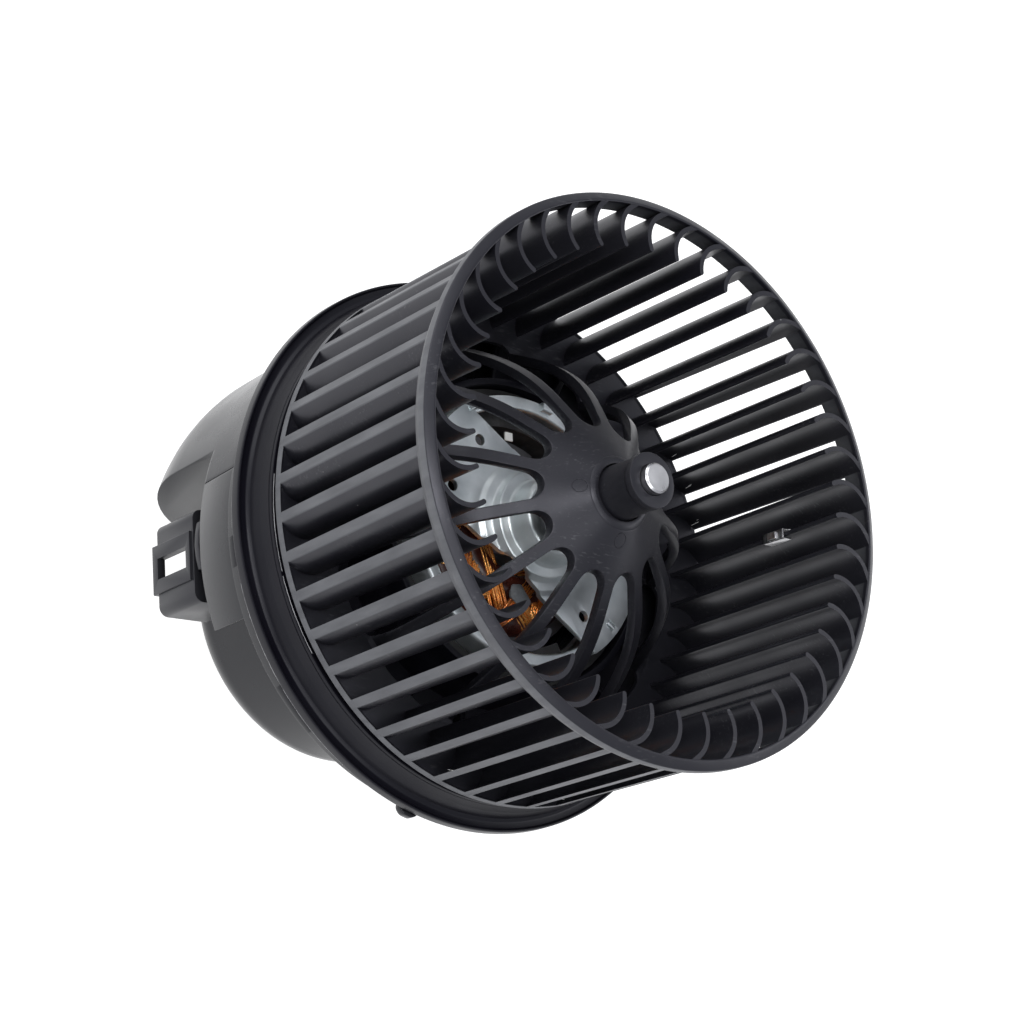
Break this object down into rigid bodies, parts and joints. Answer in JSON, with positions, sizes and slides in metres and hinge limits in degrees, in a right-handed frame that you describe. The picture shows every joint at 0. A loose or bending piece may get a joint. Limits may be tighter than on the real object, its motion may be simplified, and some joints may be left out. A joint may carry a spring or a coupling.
{
  "type": "blower motor wheel",
  "caption": "Squirrel-cage blower wheel on a brushed motor, with its mounting flange, motor housing, cooling duct and two-pin connector.",
  "frame": {"origin": "on the shaft axis, in the flat face the motor housing stands on", "axes": "+Z along the shaft towards the open inlet of the wheel, -Y towards the electrical connector"},
  "size_m": [0.1532, 0.1536, 0.1513],
  "materials": {
    "wheel_plastic": "satin",
    "flange_plastic": "satin",
    "housing_plastic": "glossy",
    "connector_plastic": "satin",
    "phenolic_card": "matte",
    "capacitor_coat": "glossy",
    "ferrite": "matte",
    "carbon": "matte",
    "ground_steel": "polished",
    "spring_steel": "satin",
    "lamination_steel": "satin",
    "zinc_plated_steel": "satin",
    "enamelled_copper": "glossy",
    "commutator_copper": "satin",
    "sintered_bronze": "satin",
    "brass_sheet": "satin",
    "damper_rubber": "matte"
  },
  "bodies": {
    "stator": {"mounting_flange": "flange_plastic", "brush_a": "carbon", "brush_b": "carbon", "brush_card": "phenolic_card", "brush_holder_a": "brass_sheet", "brush_holder_b": "brass_sheet", "brush_spring_a": "spring_steel", "brush_spring_b": "spring_steel", "capacitor": "capacitor_coat", "choke_a": "enamelled_copper", "choke_b": "enamelled_copper", "connector_shell": "connector_plastic", "cooling_duct_cover": "housing_plastic", "front_bearing": "sintered_bronze", "front_damper": "damper_rubber", "front_end_plate": "zinc_plated_steel", "magnet_clip_lower": "spring_steel", "magnet_clip_upper": "spring_steel", "magnet_left": "ferrite", "magnet_right": "ferrite", "motor_can": "zinc_plated_steel", "motor_housing": "housing_plastic", "rear_bearing": "sintered_bronze", "rear_damper": "damper_rubber", "terminal_left": "brass_sheet", "terminal_right": "brass_sheet"},
    "rotor": {"motor_shaft": "ground_steel", "fan_wheel": "wheel_plastic", "balance_clip": "spring_steel", "armature_core": "lamination_steel", "armature_winding": "enamelled_copper", "commutator": "commutator_copper", "front_thrust_washer": "spring_steel", "rear_thrust_washer": "spring_steel"}
  },
  "joints": [
    {"name": "wheel_spin", "type": "hinge", "parent": "stator", "child": "rotor", "pos_m": [0, 0, 0.1], "axis": [0, 0, 1], "continuous": true}
  ]
}
